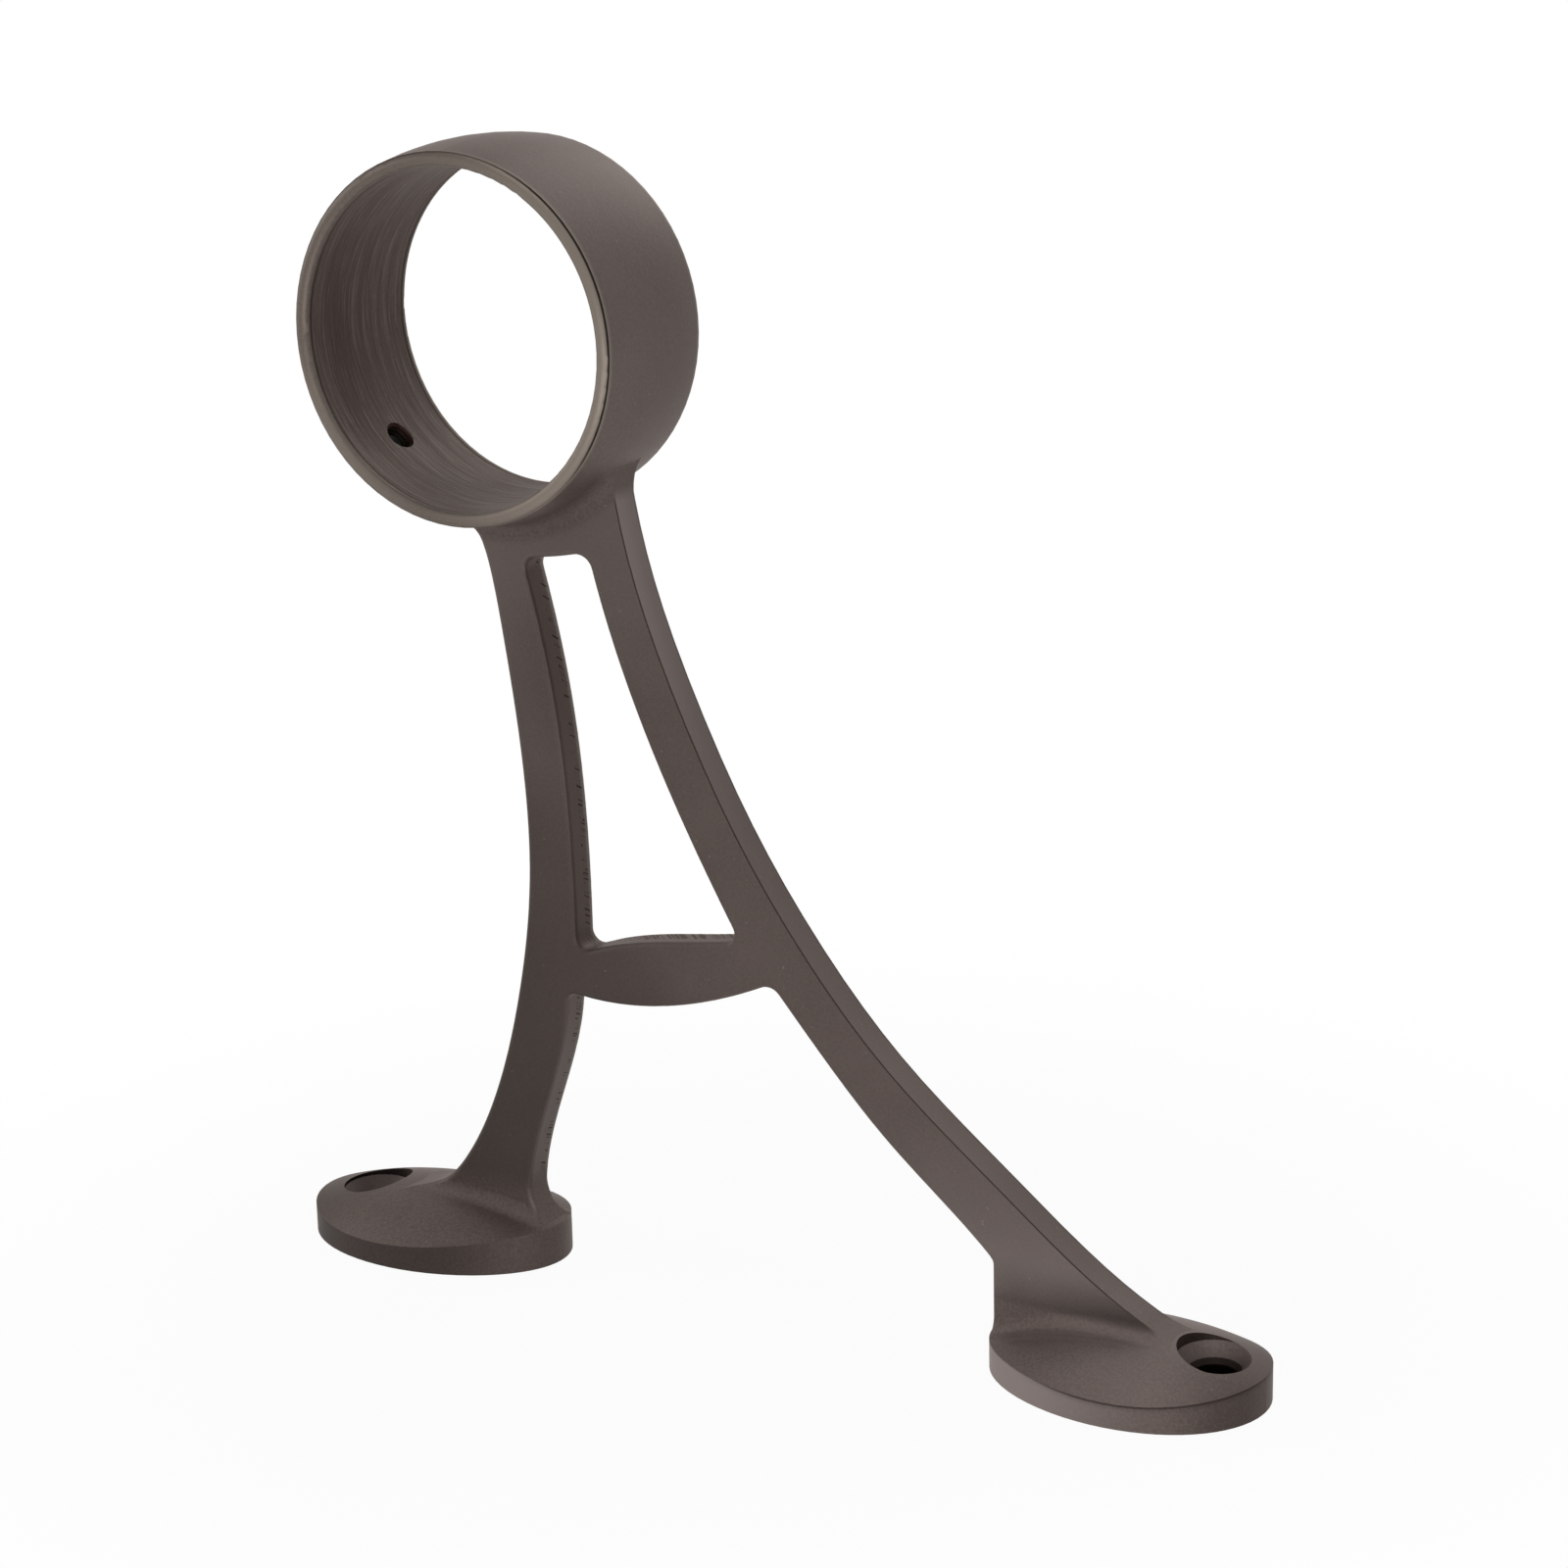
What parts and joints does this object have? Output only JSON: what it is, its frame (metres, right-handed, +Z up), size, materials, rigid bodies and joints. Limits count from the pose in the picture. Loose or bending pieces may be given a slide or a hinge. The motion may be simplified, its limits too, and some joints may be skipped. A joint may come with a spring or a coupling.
{
  "type": "foot rail floor bracket",
  "caption": "Cast floor bracket for a foot rail: a ring for the rail tube on a pierced A-shaped frame whose spread legs end in domed oval feet with countersunk screw holes.",
  "frame": {"origin": "on the floor, midway between the floor screw holes", "axes": "+Z up from the floor, +Y along the rail through the ring, +X from the short leg's foot to the long leg's foot"},
  "size_m": [0.1663, 0.0307, 0.178],
  "materials": {
    "dark_bronze": "satin dark bronze over cast brass",
    "black_steel": "black oxide"
  },
  "bodies": {
    "root": {"bracket_casting": "dark_bronze", "set_screw": "black_steel"}
  },
  "joints": []
}
